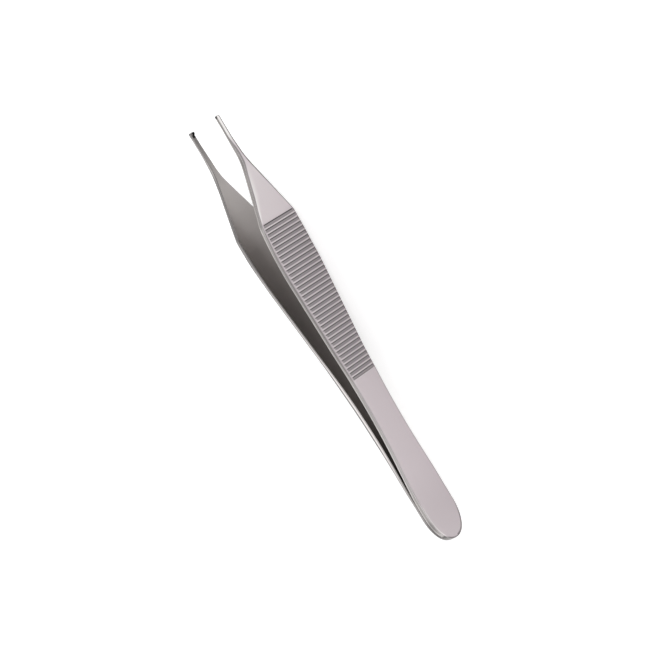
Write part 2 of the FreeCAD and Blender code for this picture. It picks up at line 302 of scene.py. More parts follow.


# Inner faces: blasted like the outer ones, greyer and darker, partly as painted shade in the gap.
def satin_face(finish):
    material, tree = new_material("stainless_steel_bead_blasted")
    place = add_node(tree, "ShaderNodeTexCoord").outputs["Object"]
    bead = add_node(
        tree,
        "ShaderNodeTexNoise",
        {"Vector": place, "Scale": 1 / finish.bead, "Detail": BEAD_DETAIL},
    )
    colour = linear(finish.inner)
    grain = bead.outputs["Fac"]
    steel_surface(tree, finish, colour, finish.face_roughness, grain, BEAD_STRENGTH)
    return material


# How bright the outer face is: (distance from the tip end in millimetres, share of the nose
# colour).
# The nose is polished to a shine, the flank only lightly, the grip not at all: partly real, partly
# a painted highlight whose dip and rise behind the nose follow how the light falls on the bent
# strip.
POLISH_AND_HIGHLIGHT = (
    (0, 1.0),
    (5.3, 1.0),
    (7.6, 0.35),
    (10, 0.12),
    (12.5, 0.12),
    (15, 0.26),
    (20, 0.2),
    (28, 0.16),
    (30, 0.0),
)
POLISH_AND_HIGHLIGHT_SPAN = 40


# Outer faces: tiny overlapping dents from glass beads give an even, soft sheen without
# direction. Beads leave marks too fine to show, so they are drawn at the bead's own size.
# The flutes' floors are painted darker, as painted shade in the hollows, and the lands between
# them carry a painted highlight, so the row reads as light lines on grey.
def fluted_face(finish):
    material, tree = new_material("stainless_steel_bead_blasted_fluted")
    trough = add_node(tree, "ShaderNodeAttribute", attribute_name="trough").outputs["Fac"]
    shade = add_node(tree, "ShaderNodeAttribute", attribute_name="shade").outputs["Fac"]
    place = add_node(tree, "ShaderNodeTexCoord").outputs["Object"]
    bead = add_node(
        tree,
        "ShaderNodeTexNoise",
        {"Vector": place, "Scale": 1 / finish.bead, "Detail": BEAD_DETAIL},
    )
    along_arm = add_node(tree, "ShaderNodeSeparateXYZ", {"Vector": place}).outputs["X"]
    setback = add_node(
        tree,
        "ShaderNodeMapRange",
        {"Value": along_arm, "From Min": HIGH.x, "From Max": HIGH.x - POLISH_AND_HIGHLIGHT_SPAN * MM},
    )
    polish_and_highlight = add_node(tree, "ShaderNodeValToRGB", {"Fac": setback.outputs["Result"]})
    set_levels(polish_and_highlight.color_ramp, POLISH_AND_HIGHLIGHT, POLISH_AND_HIGHLIGHT_SPAN)
    # Under 0 the shade attribute is a painted highlight, mixed towards the nose colour.
    painted_highlight = add_node(tree, "ShaderNodeMath", {0: shade, 1: -1.0}, operation="MULTIPLY")
    base = linear(finish.face)
    for share, colour in (
        (polish_and_highlight.outputs["Color"], finish.nose),
        (trough, finish.trough),
        (painted_highlight.outputs["Value"], finish.nose),
    ):
        mixed = add_node(
            tree,
            "ShaderNodeMix",
            {"Factor": share, "A": base, "B": linear(colour)},
            data_type="RGBA",
        )
        base = mixed.outputs["Result"]
    grain = bead.outputs["Fac"]
    steel_surface(tree, finish, base, finish.face_roughness, grain, BEAD_STRENGTH)
    return material


# Ground edges: fine lines along the strip, which draw highlights out across them. Real ones
# are some 0.02 mm apart, too fine to show, so they are drawn four times as far apart.
GRINDING_STRETCH = (0.04, 1.0, 1.0)
GRINDING_DETAIL = 2.0
GRINDING_STRENGTH = 0.3


def ground_edge(finish):
    material, tree = new_material("stainless_steel_ground_edge")
    place = add_node(tree, "ShaderNodeTexCoord").outputs["Object"]
    stretch = add_node(
        tree, "ShaderNodeVectorMath", {0: place, 1: GRINDING_STRETCH}, operation="MULTIPLY"
    )
    lines = add_node(
        tree,
        "ShaderNodeTexNoise",
        {
            "Vector": stretch.outputs["Vector"],
            "Scale": 1 / finish.grinding,
            "Detail": GRINDING_DETAIL,
        },
    )
    colour = linear(finish.edge)
    grain = lines.outputs["Fac"]
    steel_surface(tree, finish, colour, finish.edge_roughness, grain, GRINDING_STRENGTH)
    return material


# Uncoated white paper: no sheen. It is laid bright enough that the camera and the steel both
# see it as plain white, and the object's soft shadow stays on it.
def matt_paper(stage):
    material, tree = new_material("matt_white_paper")
    rays = add_node(tree, "ShaderNodeLightPath").outputs
    mirrored = add_node(
        tree,
        "ShaderNodeMath",
        {0: rays["Is Glossy Ray"], 1: rays["Is Transmission Ray"]},
        operation="MAXIMUM",
    )
    glow = add_node(
        tree, "ShaderNodeMath", {0: mirrored.outputs[0], 1: stage.glow}, operation="MULTIPLY"
    )
    lift = add_node(
        tree,
        "ShaderNodeMath",
        {0: rays["Is Camera Ray"], 1: stage.lift, 2: glow.outputs[0]},
        operation="MULTIPLY_ADD",
    )
    shader = add_node(
        tree,
        "ShaderNodeBsdfPrincipled",
        {
            "Base Color": linear(stage.floor),
            "Roughness": 1.0,
            "Specular IOR Level": 0.0,
            "Emission Color": (1, 1, 1, 1),
            "Emission Strength": lift.outputs[0],
        },
    )
    add_node(tree, "ShaderNodeOutputMaterial", {"Surface": shader.outputs["BSDF"]})
    return material


def rise(place, start, end):
    """A soft ramp from 0 to 1 between two places."""
    t = np.clip((place - start) / (end - start), 0, 1)
    return t * t * (3 - 2 * t)


def along(table, place):
    """A table's value at a place, on straight lines between its entries."""
    places, values = zip(*table)
    return np.interp(place, places, values)


ARC_POINTS = 33


def rounded(corners):
    """Points along a line of (x, y, run) corners, each rounded by an arc that starts a run away."""
    points = []
    for index, (x, y, run) in enumerate(corners):
        corner = np.array([x, y])
        if not run:
            points.append(corner)
            continue
        before = np.array(corners[index - 1][:2]) - corner
        after = np.array(corners[index + 1][:2]) - corner
        before = before / np.linalg.norm(before)
        after = after / np.linalg.norm(after)
        half_angle = math.acos(np.clip(before @ after, -1, 1)) / 2
        radius = run * math.tan(half_angle)
        bisector = (before + after) / np.linalg.norm(before + after)
        centre = corner + bisector * radius / math.sin(half_angle)
        start = corner + before * run - centre
        end = corner + after * run - centre
        sweep = math.pi - 2 * half_angle
        for step in np.linspace(0, 1, ARC_POINTS):
            turned = start * math.sin((1 - step) * sweep) + end * math.sin(step * sweep)
            points.append(centre + turned / math.sin(sweep))
    return np.array(points)


def run_of(radius, before, corner, after):
    """How far from a corner an arc of this radius starts."""
    a = np.array(before) - np.array(corner)
    b = np.array(after) - np.array(corner)
    turn = math.acos(a @ b / np.linalg.norm(a) / np.linalg.norm(b))
    return radius / math.tan(turn / 2)


# What differs from one arm to the other. A place is a distance from the tip end, and all
# lengths are in millimetres.
#   side          -1 for the front arm, +1 for the rear one
#   rim           (place, radius) of the outer rim, which was broken by hand
#   rim_dull     painted shade, a dark line, on the broken rim at each of EDGE_PLACES
#   side_dull    painted shade on the ground side at each of EDGE_PLACES
#   skirt_dull  how much of rim_dull shows on each line, from the outer face inwards
#   upper_band    width of the painted shade band on the upper edge, as a share of the rim
#   bite_reach    how far from the tip end the side of the bite carries a painted shadow
#   bite_top      how high over the middle that painted shadow reaches
ArmKind = namedtuple(
    "ArmKind",
    "side two_teeth ground_spring rim rim_dull side_dull skirt_dull "
    "upper_band bite_reach bite_top",
)
EDGE_PLACES = (0, 2, 12, 17, 29, 34, 64, 70, 80, 90, 96, 103, 106, 120)
FRONT = ArmKind(
    side=-1,
    two_teeth=False,
    ground_spring=True,
    rim=((0, 0.27), (29, 0.27), (38, 1.12), (67, 1.12), (75, 0.45), (120, 0.45)),
    rim_dull=(0.5, 0.5, 0.6, 0.6, 0.65, 0.15, 0.12, 0.12, 0.12, 0.1, 0.05, 0.0, 0.0, 0.0),
    side_dull=(0.35, 0.33, 0.33, 0.08, 0.15, 0.18, 0.0, 0.05, 0.2, 0.12, 0.08, 0.12, 0.15, 0.15),
    skirt_dull=(1, 1, 1, 0.9, 0.7, 0.45, 0.15, 0, 0, 0, 0.1, 0.2, 0.2, 0.2),
    upper_band=0.25,
    bite_reach=0.75,
    bite_top=1.0,
)
REAR = ArmKind(
    side=1,
    two_teeth=True,
    ground_spring=False,
    rim=(
        (0, 0.27),
        (12, 0.27),
        (17, 0.55),
        (36, 0.5),
        (42, 0.85),
        (67, 0.82),
        (75, 0.38),
        (88, 0.38),
        (99, 0.8),
        (106, 0.97),
        (120, 0.97),
    ),
    rim_dull=(0.75, 0.65, 0.65, 0.6, 0.7, 0.7, 0.65, 0.8, 0.8, 0.8, 0.7, 0.6, 0.7, 0.7),
    side_dull=(0.75, 0.55, 0.55, 0.6, 0.7, 0.72, 0.4, 0.06, 0.0, 0.0, 0.2, 0.6, 0.7, 0.7),
    skirt_dull=(1, 1, 1, 1, 1, 1, 0.6, 0.1, 0, 0, 0.1, 0.2, 0.2, 0.2),
    upper_band=0.5,
    bite_reach=1.6,
    bite_top=0.3,
)

# How far from each bend of the strip, and from each turn of the outline, its rounding starts.
BEND_RUNS = {"weld": 1.93, "spring": 1.45, "shoulder": 0.84, "neck": 1.25, "nose": 0.96}
TURN_RUNS = {"taper": 2.5, "grip": 2.6, "waist": 13.0, "heel": 3.5}
# The heel end is slightly fuller than an ellipse, whose power would be 1.
HEEL_FULLNESS = 0.9
HEEL_POINTS = 400
OUTLINE_POINTS = 24001
# Half the length over which the inner edge changes at the end of the weld.
WELD_BLEND = 1.5


class ArmShape:
    """The form of one arm, on the +Y side with its width centred on Z = 0, in millimetres."""

    def __init__(self, scene, kind):
        self.kind = kind
        self.strip = in_millimetres(scene.forceps_arm)
        self.plan = in_millimetres(scene.forceps_outline)
        self.flutes = in_millimetres(scene.forceps_flutes)
        self.teeth = in_millimetres(scene.forceps_teeth)
        self.crown = scene.forceps_arm.crown
        self.draw_faces()
        self.draw_outline()
        self.place_flutes(scene.forceps_flutes.count)

    def draw_faces(self):
        """The inner and the outer face, seen from the edge of the strip."""
        s = self.strip
        bend_x, bend_y = TIP_X - s.bend_setback, s.bend_gap / 2
        spring_x, spring_y = TIP_X - s.spring_setback, s.spring_gap / 2
        tip_y = s.tip_gap / 2
        slope = (s.tip_gap - s.bend_gap) / 2 / s.bend_setback
        neck_y = tip_y - s.neck_setback * slope + s.neck_thickness
        nose_y = tip_y - s.nose_setback * slope + s.nose_thickness
        inner = [
            (HEEL_X, 0.0, 0),
            (TIP_X - s.weld_setback, 0.0, BEND_RUNS["weld"]),
            (spring_x, spring_y, BEND_RUNS["spring"]),
            (bend_x, bend_y, BEND_RUNS["shoulder"]),
            (TIP_X, tip_y, 0),
        ]
        outer = [(x, y + s.thickness, run) for x, y, run in inner[:-1]] + [
            (TIP_X - s.neck_setback, neck_y, BEND_RUNS["neck"]),
            (TIP_X - s.nose_setback, nose_y, BEND_RUNS["nose"]),
            (TIP_X, tip_y + s.tip_thickness, 0),
        ]
        self.inner_line = rounded(inner)
        self.outer_line = rounded(outer)
        self.grip_angle = math.atan2(bend_y - spring_y, bend_x - spring_x)

    def draw_outline(self):
        """Half of the outline, on the outer face, from the tip round to the heel end."""
        p = self.plan
        tip = (0, p.tip_width / 2)
        taper = (p.taper_setback, p.taper_width / 2)
        shoulder = (p.shoulder_setback, p.shoulder_width / 2)
        grip = (p.grip_setback, p.grip_width / 2)
        corners = [
            (0, 0, 0),
            (*tip, run_of(p.tip_radius, (0, 0), tip, taper)),
            (*taper, TURN_RUNS["taper"]),
            (*shoulder, run_of(p.shoulder_radius, taper, shoulder, grip)),
            (*grip, TURN_RUNS["grip"]),
            (p.grip_end, p.grip_width / 2, TURN_RUNS["grip"]),
            (p.waist_setback, p.waist_width / 2, TURN_RUNS["waist"]),
            (p.heel_setback, p.heel_width / 2, TURN_RUNS["heel"]),
            (p.heel_end, p.heel_width / 2, 0),
        ]
        edge = rounded([(TIP_X - setback, half, run) for setback, half, run in corners])
        turns = np.linspace(0, math.pi / 2, HEEL_POINTS)[1:]
        heel_x = TIP_X - p.heel_end
        heel = np.stack([heel_x - (heel_x - HEEL_X) * np.sin(turns), np.cos(turns)], 1)
        heel[:, 1] = p.heel_width / 2 * heel[:, 1] ** HEEL_FULLNESS
        heel[-1] = (HEEL_X, 0)
        line = np.concatenate([edge, heel])
        arc = np.r_[0, np.cumsum(np.hypot(*np.diff(line, axis=0).T))]
        keep = np.r_[True, np.diff(arc) > 1e-9]
        fine = np.linspace(0, arc[-1], OUTLINE_POINTS)
        self.outline = np.stack([np.interp(fine, arc[keep], line[keep, k]) for k in (0, 1)], 1)
        along_line = np.gradient(self.outline, axis=0)
        along_line /= np.linalg.norm(along_line, axis=1)[:, None]
        self.inward = np.stack([-along_line[:, 1], along_line[:, 0]], 1)
        self.inward[0] = (-1, 0)
        self.inward[-1] = (1, 0)

    def place_flutes(self, count):
        """The middle of each flute, and the ends of their row, which follows the grip's slope."""
        self.lean = math.cos(self.grip_angle)
        first = TIP_X - (self.flutes.setback + self.flutes.width / 2)
        self.flute_x = first - np.arange(count) * self.flutes.pitch * self.lean
        half_pitch = self.flutes.pitch / 2 * self.lean
        self.row_front = self.flute_x[0] + half_pitch
        self.row_back = self.flute_x[-1] - half_pitch

    def rim(self, x):
        """Radius of the outer rim."""
        return along(self.kind.rim, TIP_X - x)

    def edge_break(self, x):
        """Radius of the inner edge, which is sharper along the weld."""
        s = self.strip
        share = rise(TIP_X - x, s.weld_setback - WELD_BLEND, s.weld_setback + WELD_BLEND)
        return s.inner_break * (1 - share) + s.weld_break * share

    def relief(self, x):
        """How far the inner face is ground back."""
        s = self.strip
        depths = [
            (1.8, 0.0),
            (3.5, s.nose_relief),
            (9.0, s.nose_relief),
            (14.0, s.neck_relief),
            (18.0, s.neck_relief),
            (23.0, s.flank_relief),
            (27.0, s.flank_relief),
            (33.0, 0.0),
        ]
        if self.kind.ground_spring:
            depths += [(64, 0.0), (71, s.spring_relief), (100, s.spring_relief), (107, 0.0)]
        return along(depths, TIP_X - x)

    def tooth_height(self, x, z):
        """How far the bite stands over the inner face."""
        t = self.teeth
        setback = TIP_X - x - t.setback
        lengthwise = np.minimum((t.root - setback) / (t.root - t.crest), setback / t.front)
        flank = (t.width - t.crest_width) / 2
        if self.kind.two_teeth:
            across = np.minimum((np.abs(z) - t.crest_width / 2 - t.clearance) / flank, 1)
        else:
            across = (t.width / 2 - np.abs(z)) / flank
        return t.height * np.clip(np.minimum(lengthwise, across), 0, 1)

    def outer_y(self, x):
        return np.interp(x, self.outer_line[:, 0], self.outer_line[:, 1])

    def inner_y(self, x, z):
        strip_y = np.interp(x, self.inner_line[:, 0], self.inner_line[:, 1])
        return strip_y + self.relief(x) - self.tooth_height(x, z)


def rim_drop(reach, radius):
    """How far a rounded rim lies below the face, at a distance from the edge."""
    inside = np.clip(1 - reach / radius, 0, 1)
    return radius * (1 - np.sqrt(1 - inside * inside))


# The upper long edge and the lower one look different, and change over within this height
# of the middle, at the tip end and the heel end.
EDGE_BLEND = 0.3
# Extra width of the painted shade band along the rim, by the place along the arm.
LOWER_BAND = ((18, 0.24), (24, 0.14))
UPPER_BAND = ((6, 0.0), (9, 0.35), (13, 0.35), (16, 0.17), (22, 0.17), (25.5, 0.0))
HEEL_BAND = 0.22
# How much painted shade the lower edge carries at least, in front of and behind the shoulder,
# then the edge round the heel, and the upper edge of the tip end.
LOWER_FRONT, LOWER_BACK, SHOULDER_PLACE = 0.85, 0.55, 30
HEEL_SHADE = 0.55
TIP_SHADE, TIP_REACH = 0.9, 0.55
# Where the lower edge and the upper one become the heel's rounded end.
HEEL_LOWER = (112, 116)
HEEL_UPPER = (117.8, 119)
# How softly the painted shade band ends, on the upper edge, and how much softer on the lower one.
BAND_END = 0.08
# The painted highlight line inside the upper edge: how bright, how wide, how softly it starts and
# ends.
HIGHLIGHT_LINE = ((14, 0.0), (18, 0.5), (21, 0.75), (26, 0.8), (29, 0.5), (72, 0.5), (76, 0.0))
HIGHLIGHT_WIDTH = ((22, 1.7), (28, 0.45))
HIGHLIGHT_START = 0.1
HIGHLIGHT_END = ((22, 1.6), (28, 0.2))
# The same line along the heel: how bright, where it starts and ends, and how far it reaches.
HEEL_HIGHLIGHT = 0.55
HEEL_HIGHLIGHT_START = (107, 111)
HEEL_HIGHLIGHT_END = (117.4, 118.2)
HEEL_HIGHLIGHT_REACH = (0.25, 0.37)


def edge_strength(kind, setback, lower):
    """The edge's painted shade at its darkest, and how much of it is the heel's rounded end."""
    upper = 1 - lower
    heel = rise(setback, *HEEL_LOWER) * lower + rise(setback, *HEEL_UPPER) * upper
    strengths = [
        np.interp(setback, EDGE_PLACES, kind.rim_dull),
        lower * np.where(setback < SHOULDER_PLACE, LOWER_FRONT, LOWER_BACK),
        upper * np.where(setback < TIP_REACH, TIP_SHADE, 0),
        HEEL_SHADE * heel,
    ]
    return np.maximum.reduce(strengths), heel


def face_shade(kind, setback, height, reach):
    """Painted shade on the outer face near its edge, or, under 0, painted highlight."""
    lower = rise(height, 0, -EDGE_BLEND)
    upper = 1 - lower
    strength, heel = edge_strength(kind, setback, lower)
    band = along(kind.rim, setback) * (kind.upper_band + (0.5 - kind.upper_band) * lower)
    band = band + lower * along(LOWER_BAND, setback) + upper * along(UPPER_BAND, setback)
    band = band + HEEL_BAND * heel
    # Painted shade: a dark band inside the rim.
    dull = strength * (1 - rise(reach, band, band + BAND_END * (1 + lower)))
    end = band + along(HIGHLIGHT_WIDTH, setback)
    line = rise(reach, band, band + HIGHLIGHT_START)
    line = line * (1 - rise(reach, end - along(HIGHLIGHT_END, setback), end))
    heel_line = rise(setback, *HEEL_HIGHLIGHT_START) * (1 - rise(setback, *HEEL_HIGHLIGHT_END))
    heel_line = heel_line * (1 - rise(reach, *HEEL_HIGHLIGHT_REACH))
    painted_highlight = np.maximum(line * along(HIGHLIGHT_LINE, setback), HEEL_HIGHLIGHT * heel_line)
    return dull - upper * painted_highlight


# The skirt's lines over the rim, down the side, and round the inner edge.
RIM_LINES = 6
SIDE_SHARES = (0.25, 0.5, 0.75)
BREAK_LINES = 5
# How much painted shade the side carries at least round the heel end, and where that starts.
HEEL_SIDE_SHADE = 0.68
HEEL_SIDE = (117.4, 118.2)


def skirt_shade(kind, level, setback, height):
    """How much painted shade one line of the skirt carries, with the painted shadow in the bite."""
    strength, _ = edge_strength(kind, setback, rise(height, 0, -EDGE_BLEND))
    shade = strength * kind.skirt_dull[level]
    shade = np.maximum(shade, np.interp(setback, EDGE_PLACES, kind.side_dull))
    shade = np.maximum(shade, HEEL_SIDE_SHADE * rise(setback, *HEEL_SIDE))
    if level >= RIM_LINES:
        # Painted shadow: the side in the bite is drawn near-black.
        bite_shadow = (setback < kind.bite_reach) & (height < kind.bite_top)
        shade = np.where(bite_shadow, 1.0, shade)
    return shade


# Rows across the arm, in millimetres from one to the next: close together round the tip and
# the heel end, and far apart along the plain parts.
TIP_ZONE, TIP_STEP = 1.6, 0.045
HEEL_ZONE, HEEL_STEP = 8.0, 0.32
FRONT_STEP, BACK_STEP = 0.5, 0.8
# The rows from the middle of a flute to its edge, and up to the next flute's.
FLUTE_ROWS = np.array([0, 0.1, 0.2, 0.26, 0.3, 0.34, 0.38, 0.42, 0.46, 0.5])


def rows_along(shape, inset):
    """Places along the inset line, closer together where the form turns."""
    order = np.arange(len(inset))
    arc = np.r_[0, np.cumsum(np.hypot(*np.diff(inset, axis=0).T))]
    tip_end = arc[order[inset[:, 0] > TIP_X - TIP_ZONE][-1]]
    heel_start = arc[order[inset[:, 0] < HEEL_X + HEEL_ZONE][0]]
    tip_rows = np.interp(np.arange(0, tip_end, TIP_STEP), arc, order)
    heel_arc = arc[-1] - np.arange(0, arc[-1] - heel_start, HEEL_STEP)[::-1]
    heel_rows = np.interp(heel_arc, arc, order)
    half_pitch = shape.flutes.pitch / 2
    offsets = np.r_[-FLUTE_ROWS[:0:-1], FLUTE_ROWS, half_pitch]
    fluted = (shape.flute_x[:, None] - offsets[None, :] * shape.lean).ravel()
    fluted = np.r_[shape.flute_x[0] + half_pitch * shape.lean, fluted]
    front = np.arange(TIP_X - TIP_ZONE - 0.1, fluted.max() + 0.1, -FRONT_STEP)
    back = np.arange(fluted.min() - 0.3, HEEL_X + HEEL_ZONE, -BACK_STEP)
    middle_x = np.sort(np.r_[front, fluted, back])[::-1]
    middle_rows = np.interp(-middle_x, -inset[:, 0], order)
    rows = np.unique(np.round(np.r_[tip_rows, middle_rows, heel_rows], 3))
    return rows[np.r_[True, np.diff(rows) > 1e-2]]


def sampled(line, rows):
    """A line's values at places between its points."""
    order = np.arange(len(line))
    return np.stack([np.interp(rows, order, column) for column in line.T], 1)


# The parts of an arm's mesh, which are also its material slots.
OUTER, SKIRT, INNER = 0, 1, 2
# The skirt starts on the rim where it has turned this far from the face.
RIM_START = math.radians(32)
# Points across the arm: turns over the rim, then distances from the rim's foot or the edge.
RIM_TURNS = np.radians([32, 37, 42, 47, 52, 57, 63, 70, 80, 90])
FACE_MARKS = np.array([0.07, 0.14, 0.21, 0.3, 0.6, 1.1])
INNER_MARKS = np.array([0, 0.07, 0.14, 0.21, 0.28])
MIDDLE_POINTS = 5
# The marks take up at most this share of the half width, and are drawn together to at least
# this share of their distances where the rim leaves little room.
MARKED_SHARE = 0.8
LEAST_ROOM = 0.2
# Marks are square to the edge and rows run straight across, so the marks are spread where the
# edge slants, as far as this cosine.
STEEPEST = 0.3
# Points that lie no further behind the tip end than this belong to its flat end.
FLAT_END = 0.01
# Inside a flute: how far its mouth is eased, and where the painted shade on the foot of its front
# wall lies.
MOUTH_EASE = 0.02
WALL_FOOT, WALL_SPREAD = 0.04, 0.125
# The rows of points at the ends of the flutes' row count as plain behind it and as fluted in
# front of it, whatever way their places were rounded.
ROW_SLACK = 1e-4
# How much painted highlight the lands between the flutes get, and how much painted shade darkens
# the heel.
LAND_HIGHLIGHT = 0.3
HEEL_FACE_SHADE, HEEL_FACE_SHADE_START = 0.09, (98, 112)
# Inner face: the bite carries a painted shadow up to a place and a height, the nose painted
# shade that clears up behind it, and the grip a little painted shade between two places.
BITE_BACK, BITE_EDGE = (1.5, 1.8), (0.5, 0.35)
NOSE_SHADE, NOSE_CLEARS = 0.6, (0, 17)
GRIP_SHADE, GRIP_START, GRIP_END = 0.14, (38, 58), (70, 80)


class ArmMesh:
    """The closed mesh of an arm: an outer face, a skirt round the edge, and an inner face."""

    def __init__(self, shape):
        self.shape = shape
        self.points, self.shade, self.trough = [], [], []
        self.faces, self.zones = [], []
        outline = shape.outline
        self.edge_finder = KDTree(len(outline))
        for index, (x, z) in enumerate(outline):
            self.edge_finder.insert((x, z, 0), index)
        self.edge_finder.balance()
        rim_reach = shape.rim(outline[:, 0]) * (1 - math.cos(RIM_START))
        rows = rows_along(shape, outline + shape.inward * rim_reach[:, None])
        self.edge = sampled(outline, rows)
        self.edge[0, 1] = self.edge[-1, 1] = 0
        self.inward = sampled(shape.inward, rows)
        self.inward /= np.linalg.norm(self.inward, axis=1)[:, None]
        top, bottom = self.add_skirt()
        self.fill(*top, self.outer_marks, self.outer_row, OUTER)
        self.fill(*bottom, self.inner_marks, self.inner_row, INNER)

    def add(self, x, y, z, shade, trough=0.0):
        """Keep points, with their painted shading and how deep in a flute they are, and give their
        numbers.
        """
        first = len(self.points)
        x, y, z, shade, trough = np.broadcast_arrays(x, y, z, shade, trough)
        self.points += zip(x.tolist(), y.tolist(), z.tolist())
        self.shade += shade.tolist()
        self.trough += trough.tolist()
        return list(range(first, len(self.points)))

    def height(self, z):
        """How high a place of the arm lies over its middle, once the arm lies on its edge."""
        return self.shape.kind.side * z

    def skirt_lines(self):
        """Lines over the rim, down the crowned side and round to the inner face, with their Y."""
        shape, edge = self.shape, self.edge
        x = edge[:, 0]
        tilt = shape.crown
        radius = shape.rim(x)
        edge_break = shape.edge_break(x)
        side_top = shape.outer_y(x) - radius * (1 - math.sin(tilt))
        side_bottom = shape.inner_y(x, edge[:, 1]) + edge_break
        sag = (side_top - side_bottom) * math.tan(tilt / 2)
        side_reach = radius * (1 - math.cos(tilt)) + sag
        for turn in np.linspace(RIM_START, tilt, RIM_LINES):
            reach = radius * (1 - math.cos(turn)) + sag * (RIM_START - turn) / (RIM_START - tilt)
            line = edge + self.inward * reach[:, None]
            yield line, shape.outer_y(line[:, 0]) - radius * (1 - math.sin(turn))
        for share in SIDE_SHARES:
            bulge = (1 - math.cos(tilt * (1 - share))) / (1 - math.cos(tilt))
            line = edge + self.inward * (side_reach * bulge)[:, None]
            yield line, side_top * (1 - share) + side_bottom * share
        for turn in np.linspace(0, math.pi / 2, BREAK_LINES):
            line = edge + self.inward * (edge_break * (1 - math.cos(turn)))[:, None]
            yield line, shape.inner_y(line[:, 0], line[:, 1]) + edge_break * (1 - math.sin(turn))

    def add_skirt(self):
        """Add the skirt. Give the loop and the half line where each face joins it."""
        loops, lines = [], []
        for level, (line, level_y) in enumerate(self.skirt_lines()):
            x, z = np.r_[line, line[-2:0:-1] * (1, -1)].T
            y = np.r_[level_y, level_y[-2:0:-1]]
            shade = skirt_shade(self.shape.kind, level, TIP_X - x, self.height(z))
            loops.append(self.add(x, y, z, shade))
            lines.append(line)
        for one, two in zip(loops, loops[1:]):
            for i in range(len(one)):
                j = (i + 1) % len(one)
                self.faces.append((one[i], one[j], two[j], two[i]))
                self.zones.append(SKIRT)
        return (loops[0], lines[0]), (loops[-1], lines[-1])

    def fill(self, loop, line, marks_at, add_row, zone):
        """Join the two sides of a loop by rows of faces that lie on a surface."""
        flat = int(np.argmax(line[:, 0] < line[0, 0] - FLAT_END))
        previous = [loop[k] for k in range(flat - 1, -flat, -1)]
        for i in range(flat, len(line) - 1):
            x, half = line[i]
            marks = marks_at(x, half)
            marks = (marks - marks[0]) / max(STEEPEST, abs(self.inward[i, 1]))
            marks = marks * min(1.0, MARKED_SHARE * half / marks[-1])
            marks = np.r_[marks, np.linspace(marks[-1], half, MIDDLE_POINTS)[1:]]
            z = np.r_[half - marks, -(half - marks[:-1])[::-1]]
            row = [loop[i]] + add_row(x, z[1:-1]) + [loop[-i]]
            self.join(previous, row, zone)
            previous = row
        self.join(previous, [loop[len(line) - 1]], zone)

    def join(self, one, two, zone):
        """Fill the strip between two rows: by squares where they match, else by triangles."""
        strip = []
        i = j = 0
        while i + j < len(one) + len(two) - 2:
            if len(one) == len(two):
                strip.append((one[i], two[j], two[j + 1], one[i + 1]))
                i, j = i + 1, j + 1
            elif j == len(two) - 1 or (i < len(one) - 1 and self.leads(one[i + 1], two[j + 1])):
                strip.append((one[i], two[j], one[i + 1]))
                i += 1
            else:
                strip.append((one[i], two[j], two[j + 1]))
                j += 1
        self.faces += strip if zone == OUTER else [face[::-1] for face in strip]
        self.zones += [zone] * len(strip)

    def leads(self, one, two):
        """Whether the first of two points comes first across the arm."""
        return self.points[one][2] > self.points[two][2]

    def outer_marks(self, x, half):
        radius = float(self.shape.rim(x))
        room = np.clip((MARKED_SHARE * half - radius) / FACE_MARKS[-1], LEAST_ROOM, 1)
        return np.r_[radius * (1 - np.cos(RIM_TURNS)), radius + FACE_MARKS * room]

    def inner_marks(self, x, half):
        return INNER_MARKS

    def outer_row(self, x, z):
        """Points of the outer face across the arm, with the flutes cut into it."""
        shape, cut = self.shape, self.shape.flutes
        setback = TIP_X - x
        reach = np.array([self.edge_finder.find((x, abs(place), 0))[2] for place in z])
        drop = rim_drop(reach, shape.rim(x))
        nearest = shape.flute_x[np.argmin(np.abs(shape.flute_x - x))]
        off = (x - nearest) / shape.lean
        mouth = cut.width / 2 + MOUTH_EASE
        inside = rise(reach, cut.rim, cut.rim + cut.run_out)
        depth = cut.depth * (1 - rise(abs(off), cut.floor / 2, mouth)) * inside
        sunk = np.maximum(0, depth - drop)
        sunk_x = x + sunk * math.sin(shape.grip_angle)
        sunk_y = shape.outer_y(x) - drop - sunk * shape.lean
        shade = face_shade(shape.kind, TIP_X - sunk_x, self.height(z), reach)
        # Painted shade: the face darkens towards the heel.
        shade = shade + HEEL_FACE_SHADE * rise(setback, *HEEL_FACE_SHADE_START)
        if shape.row_back < x - ROW_SLACK < shape.row_front:
            # Painted shade on the foot of the flute's front wall.
            wall = (off - cut.floor / 2 - WALL_FOOT) / WALL_SPREAD
            shade = np.maximum(shade, np.exp(-(wall**2)) * inside)
            # Painted highlight on the lands between the flutes.
            if abs(off) > mouth and setback > cut.setback:
                shade = shade - LAND_HIGHLIGHT * inside
        return self.add(sunk_x, sunk_y, z, shade, np.minimum(1, sunk / cut.depth))

    def inner_row(self, x, z):
        """Points of the inner face across the arm: painted shadow in the bite, painted shade behind
        it.
        """
        setback = TIP_X - x
        bite = (1 - rise(setback, *BITE_BACK)) * rise(self.height(z), *BITE_EDGE)
        nose = NOSE_SHADE * (1 - rise(setback, *NOSE_CLEARS))
        grip = GRIP_SHADE * rise(setback, *GRIP_START) * (1 - rise(setback, *GRIP_END))
        return self.add(x, self.shape.inner_y(x, z), z, np.maximum(bite, max(nose, grip)))

